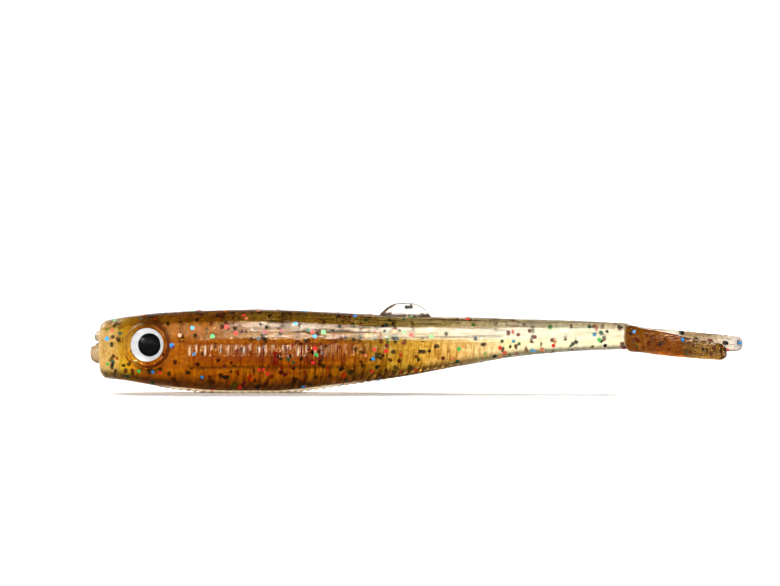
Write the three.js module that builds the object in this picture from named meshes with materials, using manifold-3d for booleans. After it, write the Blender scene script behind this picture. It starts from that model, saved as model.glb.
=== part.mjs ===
// Split-tail swimbait: a soft lure moulded in translucent plastisol, with a ribbed belly, a small back fin,
// a tail of two splayed lobes and a pair of domed stick-on eyes.
// Millimetres. +X runs from the nose to the tail, +Z from the belly to the back, and the left flank faces -Y.
// The origin is the middle of the flat under the deepest part of the belly.
//
// The real lure is one flexible moulding. It is built here in the lengths that it bends between, each starting
// in an upright round knuckle that turns in the hollow end of the length ahead of it.
import * as THREE from "three";
import { mergeVertices } from "three/addons/utils/BufferGeometryUtils.js";
import Module from "manifold-3d";

const wasm = await Module();
wasm.setup();

// ---------- driving dimensions ----------
const NOSE_X = -28.4; // the flat front of the head
const WRIST_X = 69.9; // the back of the tail stem, where it splits
const NOSE_RADIUS = 1.3; // rounding around the front of the head
const GAP = 0.3; // clearance in the knuckles
const ROUND_SIDES = 40; // sides of every disc, post and dome

// Outlines along the length, as [x, value].
const BACK = [
  [-28.4, 13.2], [-23.5, 14.05], [-16.5, 14.85], [-8, 15.2], [2, 15.35],
  [12, 14.95], [27, 14.2], [41, 13.85], [53, 13.45], [62, 13.15], [70, 12.75],
];
const BELLY = [
  [-28.4, 2.75], [-23.5, 2.1], [-16.5, 0.9], [-10, 0.25], [-4, -0.05], [4, -0.05],
  [12, 0.75], [19, 1.75], [27, 2.85], [34, 4.1], [41, 5.4], [48, 6.55], [54, 7.2], [62, 7.75], [70, 8.0],
];
const HALF_WIDTH = [
  [-28.4, 3.7], [-22, 4.6], [-12, 5.25], [0, 5.5], [12, 5.2], [24, 4.4],
  [36, 3.45], [48, 2.65], [60, 2.1], [70, 1.9],
];

// One side of the body's section, from the middle of the belly to the middle of the back,
// as [share of the half width, share of the height].
const SIDE = [
  [0, 0], [0.27, 0], [0.54, 0.09], [0.8, 0.25], [0.95, 0.43], [1, 0.575],
  [0.97, 0.7], [0.85, 0.845], [0.5, 0.945], [0.2, 1], [0, 1],
];

// Where the body bends.
const TRUNK_HINGE_X = 13.75;
const STEM_HINGE_X = 47.5;

// Tail lobes: two blades, each turning about an upright line at its root. The right one lies straighter.
const LOBE = {
  hingeX: 69.9,
  hingeY: 1.05, // to each side
  rootZ: 10.2, // middle height at the root
  length: 21.8, // from the hinge line to the tip
  rootHeight: 4.6,
  tipHeight: 2.8,
  thickness: 1.8,
  tipShare: 0.07, // share of the length that rounds off
  blunt: 0.15, // share of the section left at the very tip
  squareness: 0.65, // of the section: 1 is an ellipse, 0 a rectangle
  postInset: 0.3, // how far the hinge post stops short of the root's top and bottom
  stations: 16,
  corners: 16,
};
const REST = {
  left: { splay: 50, droop: 2.3 }, // degrees out from straight back, and how far the tip hangs below the root
  right: { splay: 10.5, droop: 1.4 },
};

// Back fin: a low arch with a level top, clear of the back by a small gap.
const FIN = {
  fromX: 24.0,
  toX: 32.7,
  height: 2.1,
  thickness: 0.8,
  gap: 0.4,
  frontRun: 3.2, // length of the sloping front edge
  frontBulge: { along: 1.6, up: 0.85 }, // where that edge is pulled out to, up as a share of the height
  rearRun: 2.6,
  rearBulge: { along: 0.7, up: 0.7 },
  curveSteps: 8,
};

// Eyes: a round socket in each side of the head holds an adhesive pad, a printed foil disc and a clear dome.
const EYE = {
  x: -19.3,
  z: 8.95,
  turn: 10, // degrees that each eye faces forward
  socketRadius: 3.3,
  socketDepth: 1.35,
  padRadius: 2.8,
  padThickness: 0.25,
  foilRadius: 3.0,
  foilThickness: 0.2,
  pupilRadius: 2.08,
  pupilBack: 0.38, // how far the pupil is printed behind the disc's middle
  pupilThickness: 0.08,
  domeRadius: 3.05,
  domeRim: 0.3,
  domeHeight: 0.85,
  domeSteps: 6,
  layerGap: 0.05,
};

// Torn-off gate on the nose, where the plastic was injected: two stubs, as [radius, reach ahead, z].
const GATE = [[2.0, 2.0, 7.25], [1.25, 1.2, 10.05]];
const GATE_HALF_WIDTH = 1.5;
const GATE_ROOT = { length: 0.6, halfWidth: 0.8, inset: 0.4 }; // the block that roots each stub in the nose

// How finely the body is built.
const BODY_STEPS = 34;
const NOSE_STEPS = [0, 0.15, 0.45, 0.9, NOSE_RADIUS];

// ---------- colours ----------
const plastisol = (colour) =>
  new THREE.MeshStandardMaterial({ color: colour, roughness: 0.25, metalness: 0 });
const AMBER = plastisol(0x9a6a2c);
const GOLD = plastisol(0xb88a42);
const PALE = plastisol(0xe0cfa4);
const CLEAR = plastisol(0xefe7d2);
const SILVER = new THREE.MeshStandardMaterial({ color: 0xe9ecef, roughness: 0.25, metalness: 0.6 });
const BLACK = new THREE.MeshStandardMaterial({ color: 0x07070a, roughness: 0.3, metalness: 0 });
const RESIN = new THREE.MeshStandardMaterial({ color: 0xf4f6f8, roughness: 0.05, metalness: 0 });
const ADHESIVE = new THREE.MeshStandardMaterial({ color: 0xd8d4c8, roughness: 0.7, metalness: 0 });

// ---------- small tools ----------
// A smooth curve through a table's points, read at x.
function along(table, x) {
  const last = table.length - 1;
  const i = Math.max(0, Math.min(last - 1, table.findIndex(([at]) => at >= x) - 1));
  const [x0, y0] = table[i];
  const [x1, y1] = table[i + 1];
  const slope = (j) => {
    const [xa, ya] = table[Math.max(0, j - 1)];
    const [xb, yb] = table[Math.min(last, j + 1)];
    return (yb - ya) / (xb - xa);
  };
  const t = (x - x0) / (x1 - x0);
  const step = x1 - x0;
  return (
    y0 * (2 * t ** 3 - 3 * t ** 2 + 1) + y1 * (3 * t ** 2 - 2 * t ** 3) +
    step * slope(i) * (t ** 3 - 2 * t ** 2 + t) + step * slope(i + 1) * (t ** 3 - t ** 2)
  );
}

// A closed skin over rings of equally many points, with a flat fan at each end.
function loft(rings) {
  const count = rings[0].length;
  const points = rings.flat();
  const faces = [];
  for (let r = 0; r + 1 < rings.length; r++) {
    for (let i = 0; i < count; i++) {
      const a = r * count + i;
      const b = r * count + ((i + 1) % count);
      faces.push(a, b, b + count, a, b + count, a + count);
    }
  }
  for (const [r, turn] of [[0, 1], [rings.length - 1, 0]]) {
    const middle = points.length;
    points.push(rings[r].reduce((sum, p) => sum.add(p), new THREE.Vector3()).divideScalar(count));
    for (let i = 0; i < count; i++) {
      const a = r * count + i;
      const b = r * count + ((i + 1) % count);
      faces.push(middle, turn ? b : a, turn ? a : b);
    }
  }
  return new THREE.BufferGeometry().setFromPoints(points).setIndex(faces);
}

// A three.js geometry as a manifold-3d solid, turned right side out.
function solid(geometry) {
  const bare = geometry.clone();
  for (const name of ["normal", "uv"]) bare.deleteAttribute(name);
  const merged = mergeVertices(bare, 1e-4);
  const triVerts = new Uint32Array(merged.index.array);
  const vertProperties = merged.attributes.position.array;
  const make = () => new wasm.Manifold(new wasm.Mesh({ numProp: 3, vertProperties, triVerts }));
  const made = make();
  if (made.volume() >= 0) return made;
  for (let i = 0; i < triVerts.length; i += 3) {
    [triVerts[i], triVerts[i + 1]] = [triVerts[i + 1], triVerts[i]];
  }
  return make();
}

// A manifold-3d solid as a named mesh.
function node(name, body, material) {
  const mesh = body.getMesh();
  const geometry = new THREE.BufferGeometry()
    .setAttribute("position", new THREE.BufferAttribute(new Float32Array(mesh.vertProperties), 3))
    .setIndex(new THREE.BufferAttribute(new Uint32Array(mesh.triVerts), 1));
  geometry.computeVertexNormals();
  const made = new THREE.Mesh(geometry, material);
  made.name = name;
  return made;
}

const block = (x0, x1, halfY, z0, z1) =>
  solid(new THREE.BoxGeometry(x1 - x0, 2 * halfY, z1 - z0).translate((x0 + x1) / 2, 0, (z0 + z1) / 2));

// An upright post: every knuckle is one, and every hollow is one taken away.
const post = (x, y, radius, z0, z1) =>
  solid(
    new THREE.CylinderGeometry(radius, radius, z1 - z0, ROUND_SIDES)
      .rotateX(Math.PI / 2)
      .translate(x, y, (z0 + z1) / 2),
  );

// ---------- the body's outer shape ----------
// How far the outline has drawn in at x, because of the rounding around the nose.
function noseInset(x) {
  const into = Math.min(NOSE_RADIUS, x - NOSE_X);
  return NOSE_RADIUS - Math.sqrt(NOSE_RADIUS ** 2 - (NOSE_RADIUS - into) ** 2);
}

function ring(x) {
  const inset = noseInset(x);
  const low = Math.max(0, along(BELLY, x)) + inset;
  const high = along(BACK, x) - inset;
  const half = along(HALF_WIDTH, x) - inset;
  const flank = (sign) =>
    SIDE.map(([u, v]) => new THREE.Vector3(x, sign * u * half, low + v * (high - low)));
  const right = flank(1);
  const left = flank(-1).slice(1, -1).reverse();
  return [...right, ...left];
}

function wholeBody() {
  const stations = NOSE_STEPS.map((d) => NOSE_X + d);
  const first = NOSE_X + NOSE_RADIUS;
  for (let i = 1; i <= BODY_STEPS; i++) stations.push(first + ((WRIST_X - first) * i) / BODY_STEPS);
  return solid(loft(stations.map(ring)));
}

// The lengths that the body bends between. Each starts in a knuckle and ends in the next one's hollow.
const Z_LOW = -5; // well below, above and beside everything, for cutting right through
const Z_HIGH = 25;
const WIDE = 20;
const FAR_FRONT = -50;
const FAR_BACK = 90;
const knuckleRadius = (x) => along(HALF_WIDTH, x);
const knuckle = (x, extra = 0) => post(x, 0, knuckleRadius(x) + extra, Z_LOW, Z_HIGH);

function bodyLength(whole, fromX, toX) {
  let room = block(fromX ?? FAR_FRONT, toX ?? FAR_BACK, WIDE, Z_LOW, Z_HIGH);
  if (fromX !== null) room = room.add(knuckle(fromX));
  let made = whole.intersect(room);
  if (toX !== null) made = made.subtract(knuckle(toX, GAP));
  return made;
}

// ---------- eyes ----------
const side = { left: -1, right: 1 };
const flankY = (x, z) => {
  const low = along(BELLY, x);
  const v = (z - low) / (along(BACK, x) - low);
  const i = SIDE.findIndex(([, at]) => at > v);
  const [u0, v0] = SIDE[i - 1];
  const [u1, v1] = SIDE[i];
  return along(HALF_WIDTH, x) * (u0 + ((u1 - u0) * (v - v0)) / (v1 - v0));
};

// A disc or lathed shape whose axis is +Y here, turned so that it faces out of one side of the head.
// depth is how far under the flank its base lies.
function onHead(geometry, sign, depth) {
  const turn = THREE.MathUtils.degToRad(EYE.turn);
  const out = new THREE.Vector3(-Math.sin(turn), sign * Math.cos(turn), 0);
  const turned = new THREE.Quaternion().setFromUnitVectors(new THREE.Vector3(0, 1, 0), out);
  const seat = new THREE.Vector3(EYE.x, sign * flankY(EYE.x, EYE.z), EYE.z).addScaledVector(out, -depth);
  return solid(geometry.clone().applyQuaternion(turned).translate(seat.x, seat.y, seat.z));
}

const disc = (radius, thickness) =>
  new THREE.CylinderGeometry(radius, radius, thickness, ROUND_SIDES).translate(0, thickness / 2, 0);

// Clear dome: a short rim with a shallow spherical cap.
function dome() {
  const { domeRadius: r, domeRim: rim, domeHeight: h, domeSteps: steps } = EYE;
  const ball = (r * r + h * h) / (2 * h);
  const profile = [new THREE.Vector2(0, 0), new THREE.Vector2(r, 0), new THREE.Vector2(r, rim)];
  for (let i = 1; i <= steps; i++) {
    const out = r * (1 - i / steps);
    profile.push(new THREE.Vector2(out, rim + h - ball + Math.sqrt(ball * ball - out * out)));
  }
  return new THREE.LatheGeometry(profile, ROUND_SIDES);
}

function eyeNodes(name) {
  const sign = side[name];
  const made = [];
  let depth = EYE.socketDepth - EYE.layerGap;
  const lay = (part, geometry, thickness, material) => {
    made.push(node(`eye_${part}_${name}`, onHead(geometry, sign, depth), material));
    depth -= thickness + EYE.layerGap;
  };
  lay("adhesive", disc(EYE.padRadius, EYE.padThickness), EYE.padThickness, ADHESIVE);
  lay("foil", disc(EYE.foilRadius, EYE.foilThickness), EYE.foilThickness, SILVER);
  const pupil = disc(EYE.pupilRadius, EYE.pupilThickness).translate(sign * EYE.pupilBack, 0, 0);
  lay("pupil", pupil, EYE.pupilThickness, BLACK);
  lay("dome", dome(), EYE.domeRim + EYE.domeHeight, RESIN);
  return made;
}

const socket = (sign) => onHead(disc(EYE.socketRadius, 2 * EYE.socketRadius), sign, EYE.socketDepth);

// ---------- gate stub on the nose ----------
function stub([radius, reach, z]) {
  const { length, halfWidth, inset } = GATE_ROOT;
  const ball = new THREE.SphereGeometry(1, 16, 12).scale(reach, GATE_HALF_WIDTH, radius);
  const tall = radius - inset;
  const root = block(NOSE_X - length / 2, NOSE_X + length / 2, halfWidth, z - tall, z + tall);
  return solid(ball.translate(NOSE_X, 0, z)).add(root);
}

const gate = () => GATE.map(stub).reduce((all, one) => all.add(one));

// ---------- tail lobes ----------
// A blade with its hinge line on x = y = 0, pointing along +X. Its section is a flat oval and its tip round.
function lobe(droop) {
  const { length, rootHeight, tipHeight, thickness, rootZ } = LOBE;
  const soften = (c) => Math.sign(c) * Math.abs(c) ** LOBE.squareness;
  const rings = [];
  for (let i = 0; i <= LOBE.stations; i++) {
    const t = 1 - (1 - i / LOBE.stations) ** 1.6; // closer together towards the tip
    const intoTip = Math.max(0, t - 1 + LOBE.tipShare) / LOBE.tipShare;
    const round = Math.max(LOBE.blunt, Math.sqrt(1 - intoTip ** 2));
    const halfHeight = (rootHeight + (tipHeight - rootHeight) * t ** 2) * 0.5 * round;
    const halfThick = thickness * 0.5 * round;
    const points = [];
    for (let k = 0; k < LOBE.corners; k++) {
      const a = (2 * Math.PI * k) / LOBE.corners;
      const across = halfThick * soften(Math.cos(a));
      const z = rootZ - droop * t + halfHeight * soften(Math.sin(a));
      points.push(new THREE.Vector3(length * t, across, z));
    }
    rings.push(points);
  }
  const reach = rootHeight / 2 - LOBE.postInset;
  return solid(loft(rings)).add(post(0, 0, thickness / 2, rootZ - reach, rootZ + reach));
}

function lobeNode(name) {
  const made = node(`tail_lobe_${name}`, lobe(REST[name].droop), GOLD);
  made.position.set(LOBE.hingeX, side[name] * LOBE.hingeY, 0);
  made.rotation.z = side[name] * THREE.MathUtils.degToRad(REST[name].splay);
  return made;
}

const lobeHollow = (name) =>
  post(LOBE.hingeX, side[name] * LOBE.hingeY, LOBE.thickness / 2 + GAP, Z_LOW, Z_HIGH);

// ---------- back fin ----------
function fin() {
  const { fromX, toX, height, thickness, gap, frontRun, frontBulge, rearRun, rearBulge } = FIN;
  const base = along(BACK, (fromX + toX) / 2) + gap;
  const top = base + height;
  const outline = new THREE.Shape();
  outline.moveTo(fromX, base);
  outline.quadraticCurveTo(fromX + frontBulge.along, base + height * frontBulge.up, fromX + frontRun, top);
  outline.lineTo(toX - rearRun, top);
  outline.quadraticCurveTo(toX - rearBulge.along, base + height * rearBulge.up, toX, base);
  outline.closePath();
  const options = { depth: thickness, bevelEnabled: false, curveSegments: FIN.curveSteps };
  const plate = new THREE.ExtrudeGeometry(outline, options);
  return solid(plate.rotateX(Math.PI / 2).translate(0, thickness / 2, 0));
}

// ---------- the lure ----------
const whole = wholeBody();
const front = bodyLength(whole, null, TRUNK_HINGE_X)
  .subtract(socket(side.left))
  .subtract(socket(side.right))
  .add(gate());
const middle = bodyLength(whole, TRUNK_HINGE_X, STEM_HINGE_X);
const stem = bodyLength(whole, STEM_HINGE_X, null)
  .subtract(lobeHollow("left"))
  .subtract(lobeHollow("right"));

const lure = new THREE.Group();
lure.add(node("body_front", front, AMBER));
lure.add(node("body_middle", middle, GOLD));
lure.add(node("tail_stem", stem, PALE));
lure.add(lobeNode("left"), lobeNode("right"));
lure.add(node("dorsal_fin", fin(), CLEAR));
for (const name of ["left", "right"]) lure.add(...eyeNodes(name));

export default lure;
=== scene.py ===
"""The looks of the split-tail swimbait: translucent skins, glitter, eyes, fin, lobes, floor and lights.

Shapes are worked out in millimetres in the part's frame: +X to the tail, +Z to the back, left flank to -Y.
"""

import math

import bpy
import numpy as np
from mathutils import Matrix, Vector


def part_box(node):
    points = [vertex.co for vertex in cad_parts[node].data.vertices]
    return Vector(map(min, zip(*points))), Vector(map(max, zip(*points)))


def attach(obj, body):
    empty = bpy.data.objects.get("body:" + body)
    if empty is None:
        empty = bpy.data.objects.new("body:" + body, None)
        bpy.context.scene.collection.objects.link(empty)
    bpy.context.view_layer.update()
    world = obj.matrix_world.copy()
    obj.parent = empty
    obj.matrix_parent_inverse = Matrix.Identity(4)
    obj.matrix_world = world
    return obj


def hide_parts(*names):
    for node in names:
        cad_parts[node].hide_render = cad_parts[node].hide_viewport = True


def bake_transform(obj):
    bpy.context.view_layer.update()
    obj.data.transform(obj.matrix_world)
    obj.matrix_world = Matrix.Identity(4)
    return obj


MM = 0.001

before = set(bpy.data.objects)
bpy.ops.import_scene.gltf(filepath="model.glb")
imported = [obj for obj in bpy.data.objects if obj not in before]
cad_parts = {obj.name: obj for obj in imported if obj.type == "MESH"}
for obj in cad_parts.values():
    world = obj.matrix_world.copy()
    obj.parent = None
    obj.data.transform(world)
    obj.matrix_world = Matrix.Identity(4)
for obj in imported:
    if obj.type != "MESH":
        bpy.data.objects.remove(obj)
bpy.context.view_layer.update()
rng = np.random.default_rng(11)

# ---------- the body's measures, in millimetres ----------
# A reach is four places: it fades in over the first two and out over the last two.
BODY_NODES = ("body_front", "body_middle", "tail_stem")
CLEAR_OF_GATE = 2.0  # farther out from the middle than any of the CAD's gate stub
RING_POINTS = 18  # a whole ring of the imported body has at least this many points
NOSE_RADIUS = 1.3
STEM_END_RADIUS = 1.7
RIB_PITCH = 1.41
RIB_DEPTH = 0.16
PADS_FROM = 6.5
PAD_HEIGHT = 1.36
RIBS = (-13.4, 67.5)  # where the ribs start and stop
SEAM_X = RIBS[0] + 32 * RIB_PITCH  # where the two skins meet, in the bottom of a groove
PADS_REACH = (-12.6, -11.4, 14, 26)
ROPE_REACH = (-20, -13, 16, 34)
EYE_SOCKET_RADIUS = 3.22
EYE_SOCKET_DEPTH = 0.45  # below the foil disc's middle
# Heights of the two long creases, as shares of the body's height, along the share of its length.
LATERAL = ((0.0, 0.6), (0.2, 0.645), (0.36, 0.645), (0.56, 0.6), (0.7, 0.52), (0.83, 0.44), (1.0, 0.42))
SHOULDER = ((0.0, 0.84), (0.36, 0.862), (0.56, 0.835), (0.8, 0.79), (1.0, 0.76))
SHOULDER_WIDTH = 0.79  # share of the half width at the shoulder crease
# The rear edge of the gill plate, as height and place along the body.
GILL = ((0.0, -14.8), (5.1, -13.6), (9.5, -12.3), (12.1, -12.2), (15.5, -13.6))


def smooth(value, low, high):
    t = np.clip((value - low) / (high - low), 0, 1)
    return t * t * (3 - 2 * t)


def within(value, reach):
    """1 inside a reach of four places, fading to 0 at both ends."""
    return smooth(value, reach[0], reach[1]) * (1 - smooth(value, reach[2], reach[3]))


def vertex_points(mesh):
    """A mesh's vertices in millimetres."""
    co = np.empty(len(mesh.vertices) * 3, np.float32)
    mesh.vertices.foreach_get("co", co)
    return co.reshape(-1, 3).astype(float) / MM


def points_of(node):
    return vertex_points(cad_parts[node].data)


def measured_outline():
    """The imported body's own rings: (x, belly, back, half width), and its two ends."""
    points = np.vstack([points_of(node) for node in BODY_NODES])
    eye = [corner[0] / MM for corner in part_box("eye_dome_left")]
    nose = float(points[np.abs(points[:, 1]) > CLEAR_OF_GATE][:, 0].min())
    wrist = float(points[:, 0].max())
    rows = []
    for x in np.unique(points[:, 0].round(2)):
        ring = np.unique(points[np.abs(points[:, 0] - x) < 0.02].round(2), axis=0)
        beside_eye = eye[0] - 2 < x < eye[1] + 2
        full_ring = len(ring) >= RING_POINTS and nose + NOSE_RADIUS - 0.05 < x < wrist - 1.5
        if full_ring and not beside_eye:
            rows.append((x, ring[:, 2].min(), ring[:, 2].max(), ring[:, 1].max()))
    return nose, wrist, np.array(rows)


NOSE_X, WRIST_X, OUTLINE = measured_outline()
STEM_END_X = WRIST_X + 0.9  # the skin covers the gap behind the stem's knuckle


def curve_through(table, x):
    """A smooth curve through rows of (place, value), read at x and carried on straight past its ends."""
    table = np.asarray(table, float)
    at, value = table[:, 0], table[:, 1]
    slope = np.gradient(value, at)
    i = np.clip(np.searchsorted(at, x) - 1, 0, len(at) - 2)
    step = at[i + 1] - at[i]
    t = (x - at[i]) / step
    inside = np.clip(t, 0, 1)
    h = inside * inside * (3 - 2 * inside)
    bend = inside * (1 - inside) * step
    curve = value[i] * (1 - h) + value[i + 1] * h
    curve = curve + bend * (slope[i] * (1 - inside) - slope[i + 1] * inside)
    return curve + (t - inside) * step * np.where(t < 0, slope[i], slope[i + 1])


def outline(x):
    """Belly, back and half width at x, before the ends are rounded."""
    return [curve_through(OUTLINE[:, (0, k)], x) for k in (1, 2, 3)]


def along_share(table, x):
    share = (x - NOSE_X) / (WRIST_X - NOSE_X)
    return curve_through(table, share)


# ---------- the body's surface ----------
# How far the raised details stand out, in millimetres.
ROPE_RISE, ROPE_TEETH, ROPE_GROOVE = 0.1, 0.11, 0.16
ROPE_SLANT = 6  # how far the teeth lean, in pitches for a whole turn of t
GILL_RISE = 0.22
SHOULDER_LINE_RISE = 0.07
EYE_RIM_RISE, EYE_RIM_RADIUS, EYE_DISH_DEPTH = 0.36, 3.65, 0.25
RIB_LEAN = 1.9
LATERAL_T, SHOULDER_T = 0.56, 0.76  # the two creases, as shares of the way round one side
ROPE_T = 0.12  # where the rope along the belly ends
# How square the section's rounded parts are: the powers of their curves, across and up.
FLANK_POWERS = (2 / 2.7, 2 / 2.2)
HEAD_POWERS = (2 / 2.5, 2 / 2.3)
CROWN_POWER = 2.3


def side_shares():
    """Places round one side, from the middle of the belly to the middle of the back."""
    # Each stretch: where it starts, and its number of steps, which are short at the creases.
    stretches = (
        (0, 16), (ROPE_T + 0.03, 22), (LATERAL_T - 0.03, 6), (LATERAL_T + 0.015, 10),
        (SHOULDER_T - 0.012, 6), (SHOULDER_T + 0.02, 12), (1, 1),
    )
    pairs = zip(stretches, stretches[1:])
    rows = [np.linspace(start, end, steps, endpoint=False) for (start, steps), (end, _) in pairs]
    return np.concatenate(rows + [[1]])


def section(x, t):
    """Half section at x: y (positive) and z at the shares t. x and t are arrays of one shape."""
    belly, back, half = outline(x)
    start = np.clip(NOSE_RADIUS - (x - NOSE_X), 0, NOSE_RADIUS)
    end = np.clip(STEM_END_RADIUS - (STEM_END_X - x), 0, STEM_END_RADIUS)
    inset = NOSE_RADIUS - np.sqrt(np.maximum(NOSE_RADIUS**2 - start**2, 0))
    inset = inset + STEM_END_RADIUS - np.sqrt(np.maximum(STEM_END_RADIUS**2 - end**2, 0))
    belly, back, half = belly + inset, back - inset, half - inset
    lateral = belly + along_share(LATERAL, x) * (back - belly)
    shoulder = belly + along_share(SHOULDER, x) * (back - belly)
    low = np.clip(t / LATERAL_T, 0, 1) * math.pi / 2
    mid = np.clip((t - LATERAL_T) / (SHOULDER_T - LATERAL_T), 0, 1)
    top = np.clip((t - SHOULDER_T) / (1 - SHOULDER_T), 0, 1)
    # Below the lateral line: a full, nearly upright flank that turns under to a narrow belly.
    y_low = half * np.sin(low) ** FLANK_POWERS[0]
    z_low = lateral - (lateral - belly) * np.cos(low) ** FLANK_POWERS[1]
    # Between the creases: a flat facet. Above them: a shallow crown.
    y_mid = half * (1 - (1 - SHOULDER_WIDTH) * mid)
    z_mid = lateral + (shoulder - lateral) * mid
    y_top = half * SHOULDER_WIDTH * (1 - top)
    z_top = back - (back - shoulder) * np.abs(1 - top) ** CROWN_POWER
    y = np.where(t < LATERAL_T, y_low, np.where(t < SHOULDER_T, y_mid, y_top))
    z = np.where(t < LATERAL_T, z_low, np.where(t < SHOULDER_T, z_mid, z_top))
    # The head and the very end of the stem are rounder, with no creases.
    upper = np.clip((t - LATERAL_T) / (1 - LATERAL_T), 0, 1) * math.pi / 2
    y_round = np.where(t < LATERAL_T, y_low, half * np.cos(upper) ** HEAD_POWERS[0])
    z_over = lateral + (back - lateral) * np.sin(upper) ** HEAD_POWERS[1]
    z_round = np.where(t < LATERAL_T, z_low, z_over)
    creased = smooth(x, -21, -9) * (1 - 0.5 * smooth(x, 58, STEM_END_X))
    return y_round + (y - y_round) * creased, z_round + (z - z_round) * creased


def rib(s):
    """0 on the middle of each rib, and -1 in the sharp grooves between ribs."""
    phase = (s - RIBS[0]) / RIB_PITCH
    off = 1 - 2 * np.abs(phase - np.round(phase))
    return -off * off


def peak(value, middle, width):
    """A smooth peak of height 1 about the middle."""
    return np.exp(-(((value - middle) / width) ** 2))


def pad_relief(s, z):
    """Forward, each rib has two flat pads under the lateral line, which face a little upwards."""
    pads = (z - PADS_FROM) / PAD_HEIGHT
    padded = within(pads, (-1.3, 0.1, 1.95, 2.02)) * within(s, PADS_REACH)
    off = pads - np.floor(pads) - 0.5
    pad = 0.2 * np.clip(2 - np.maximum(pads, 0), 0, 2) + 0.1 * np.clip(1 - pads, 0, 1)
    pad = pad - 0.06 * off * off - 0.05 * peak(0.5 - np.abs(off), 0, 0.1)
    return padded * pad


def rope_relief(s, t):
    """The rope-like edge of the belly: slanting teeth at the ribs' pitch, with a groove above them."""
    slant = (s - RIBS[0]) / RIB_PITCH + ROPE_SLANT * t
    rope = (1 - smooth(t, ROPE_T - 0.02, ROPE_T)) * within(s, ROPE_REACH)
    groove = peak(t, ROPE_T + 0.008, 0.01) * within(s, (*ROPE_REACH[:2], 30, 50))
    return rope * (ROPE_RISE + ROPE_TEETH * np.cos(2 * math.pi * slant)) - ROPE_GROOVE * groove


def gill_relief(t, x, z):
    """The gill plate: it stands out most at its rear edge."""
    edge = curve_through(GILL, z)
    plate = within(x, (edge - 9, edge - 0.4, edge - 0.35, edge + 0.35))
    return GILL_RISE * plate * within(t, (0.1, 0.25, 0.8, 0.95))


def eye_relief(x, z, side):
    """The rim round the eye, and the dish inside it."""
    centre, axis = EYES[side]
    r = np.hypot((x - centre[0]) * abs(axis[1]), z - centre[2])
    return EYE_RIM_RISE * peak(r, EYE_RIM_RADIUS, 0.33) - EYE_DISH_DEPTH * (1 - smooth(r, 3.0, 3.5))


def relief(s, t, x, z, side):
    """How far the surface stands out of the plain section."""
    under_line = smooth(t, LATERAL_T - 0.012, LATERAL_T - 0.03)
    length = within(s, (RIBS[0] - 0.2, RIBS[0] + 1.2, RIBS[1] - 5, RIBS[1]))
    depth = RIB_DEPTH * (1 - 0.62 * smooth(s, 18, 50))
    ribs = depth * rib(s) * smooth(t, ROPE_T, ROPE_T + 0.03)
    out = under_line * length * (ribs + pad_relief(s, z)) + rope_relief(s, t) + gill_relief(t, x, z)
    # A fine raised line along the shoulder crease.
    line = SHOULDER_LINE_RISE * within(s, (-12, -4, 52, 66)) * peak(t, SHOULDER_T, 0.009)
    return out + line + eye_relief(x, z, side)


def wobble(x, z, side):
    """The slight unevenness of a soft moulding."""
    a = np.sin(0.31 * x + 1.3 * side) * np.sin(0.47 * z + 0.2 * x)
    b = np.sin(1.1 * x + 0.8 * z + 2.0 * side)
    return 0.035 * a + 0.012 * b


def lean(s, t):
    """How far forward the surface at t is drawn at station s: the ribs curve forward low down."""
    down = np.clip((LATERAL_T - t) / LATERAL_T, 0, 1)
    return RIB_LEAN * down**2.2 * within(s, (-24, -8, 58, 68))


def body_points(s, t, side):
    """The finished surface and its normal, at stations s and shares t on one side."""

    def plain(s, t):
        x = s - lean(s, t)
        y, z = section(x, t)
        return np.stack([x, side * y, z], -1)

    # The normal comes from the points a small step away on either side.
    step = 1e-3
    inner = np.clip(t, step, 1 - step)
    along = plain(s + step, inner) - plain(s - step, inner)
    around = plain(s, inner + step) - plain(s, inner - step)
    normal = np.cross(along, around) * -side
    normal = normal / np.maximum(np.linalg.norm(normal, axis=-1, keepdims=True), 1e-12)
    base = plain(s, t)
    fade = within(s, (NOSE_X, NOSE_X + 1.0, STEM_END_X - 1.2, STEM_END_X))
    x, z = base[..., 0], base[..., 2]
    out = relief(s, t, x, z, side) + wobble(x, z, side)
    return base + normal * (out * fade)[..., None], normal


# ---------- mesh tools ----------
def add_object(name, data):
    """An object for the data, in the scene."""
    made = bpy.data.objects.new(name, data)
    bpy.context.scene.collection.objects.link(made)
    return made


def add_mesh(name, points, faces, smooth_angle=38):
    """A mesh object from points in millimetres, smooth but for edges sharper than smooth_angle degrees."""
    mesh = bpy.data.meshes.new(name)
    mesh.from_pydata((np.asarray(points) * MM).tolist(), [], faces)
    mesh.update()
    made = add_object(name, mesh)
    finish_shading(made, smooth_angle)
    return made


def finish_shading(made, smooth_angle=38):
    made.data.polygons.foreach_set("use_smooth", [True] * len(made.data.polygons))
    made.data.set_sharp_from_angle(angle=math.radians(smooth_angle))


def tube_faces(rings, around):
    """Quads over rings of points, facing out when the rings run along +X and turn from -Y to +Z."""
    faces = []
    for r in range(rings - 1):
        for i in range(around):
            j = (i + 1) % around
            a, b = r * around + i, r * around + j
            faces.append((a, a + around, b + around, b))
    return faces


def write_attribute(made, name, values):
    values = np.asarray(values, np.float32)
    kind = "FLOAT" if values.ndim == 1 else "FLOAT_VECTOR"
    layer = made.data.attributes.new(name, kind, "POINT")
    layer.data.foreach_set("value" if values.ndim == 1 else "vector", values.ravel())


def apply_modifiers(made):
    graph = bpy.context.evaluated_depsgraph_get()
    mesh = bpy.data.meshes.new_from_object(made.evaluated_get(graph), depsgraph=graph)
    made.modifiers.clear()
    made.data = mesh


# ---------- skins ----------
def eye_places():
    """Centre and outward axis of each eye, from its flat foil disc."""
    places = {}
    for name, side in (("left", -1), ("right", 1)):
        points = points_of(f"eye_foil_{name}")
        centre = points.mean(0)
        axis = np.linalg.svd(points - centre)[2][2]
        places[side] = (centre, axis * np.sign(axis[1] * side))
    return places


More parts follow.
